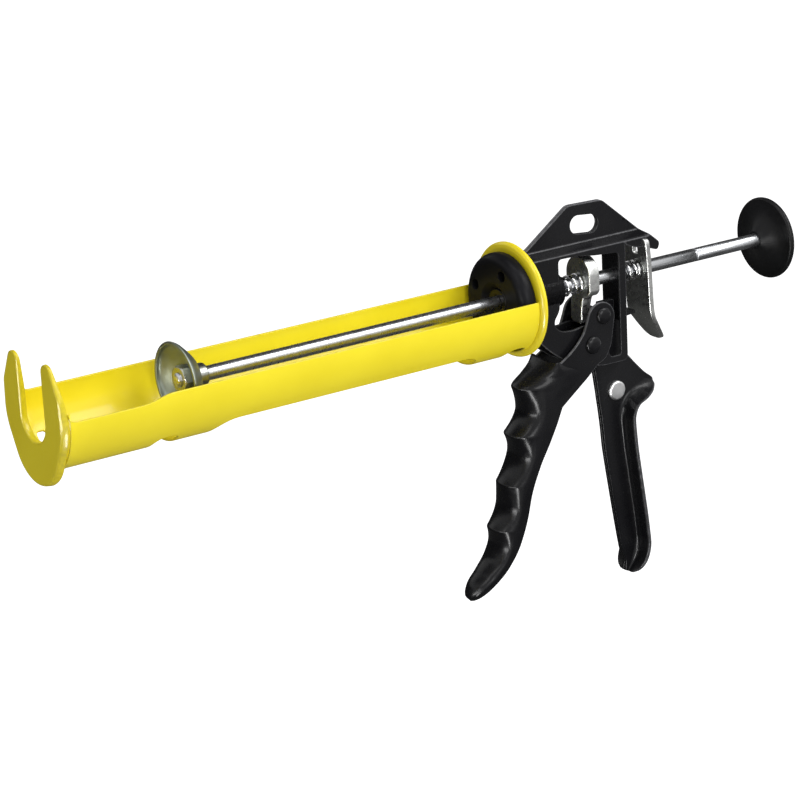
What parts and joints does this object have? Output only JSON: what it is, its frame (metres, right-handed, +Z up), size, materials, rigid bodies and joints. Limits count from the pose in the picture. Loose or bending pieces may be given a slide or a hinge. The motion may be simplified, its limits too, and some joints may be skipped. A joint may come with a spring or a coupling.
{
  "type": "caulking gun",
  "caption": "Caulking gun with a turning open cradle for 50 mm cartridges, a friction-driven push rod, a finger-grooved trigger and a fixed handle of two flanged halves.",
  "frame": {"origin": "on the rod's axis at the inner face of the cradle's front plate, where a cartridge's shoulder seats", "axes": "+X back along the rod towards the knob, +Z up, -Y the gun's left side"},
  "size_m": [0.4384, 0.058, 0.2022],
  "materials": {
    "cradle_paint": "gloss powder paint",
    "frame_paint": "satin black paint",
    "black_plastic": "moulded, soft gloss",
    "rod_steel": "bright drawn steel",
    "zinc_steel": "zinc plated",
    "spring_steel": "bright spring wire",
    "bright_rivet": "polished"
  },
  "bodies": {
    "frame": {"swivel_nut": "black_plastic", "swivel_spindle": "frame_paint", "swivel_washer": "zinc_steel", "frame_side_left": "frame_paint", "frame_side_right": "frame_paint", "rear_guide": "frame_paint", "trigger_pivot": "frame_paint", "pivot_spacers": "zinc_steel", "handle_half_left": "frame_paint", "handle_half_right": "frame_paint", "handle_rivet": "bright_rivet", "drive_spring": "spring_steel", "release_spring": "spring_steel"},
    "cradle": {"cradle_trough": "cradle_paint", "front_plate": "cradle_paint", "rear_ring": "cradle_paint"},
    "rod": {"push_rod": "rod_steel", "piston_disc": "zinc_steel", "piston_nut": "zinc_steel", "piston_collar": "zinc_steel", "rod_knob": "black_plastic", "knob_cap": "black_plastic"},
    "drive": {"drive_plate": "zinc_steel"},
    "release": {"release_lever": "zinc_steel"},
    "trigger": {"trigger_arm_left": "frame_paint", "trigger_arm_right": "frame_paint", "trigger_grip": "frame_paint", "thrust_pin": "frame_paint"}
  },
  "joints": [
    {"name": "cradle_swivel", "type": "hinge", "parent": "frame", "child": "cradle", "pos_m": [0, 0, 0], "axis": [1, 0, 0], "continuous": true},
    {"name": "rod_slide", "type": "slide", "parent": "frame", "child": "rod", "axis": [1, 0, 0], "range_m": [-0.068, 0.1662]},
    {"name": "trigger_squeeze", "type": "hinge", "parent": "frame", "child": "trigger", "pos_m": [0.3053, 0, -0.0301], "axis": [0, -1, 0], "range_deg": [0, 18], "stiffness_Nm_per_rad": 1.2, "springref_deg": -8.59},
    {"name": "drive_slide", "type": "slide", "parent": "frame", "child": "drive", "axis": [-1, 0, 0], "range_m": [0, 0.0048], "deforming": ["drive_spring"]},
    {"name": "release_press", "type": "hinge", "parent": "frame", "child": "release", "pos_m": [0.3448, 0, 0.012], "axis": [0, 1, 0], "range_deg": [0, 8], "stiffness_Nm_per_rad": 0.4, "springref_deg": -5.73, "deforming": ["release_spring"]}
  ],
  "couplings": [
    {"joint": "drive_slide", "follows": "trigger_squeeze", "m_per_rad": 0.0149}
  ]
}
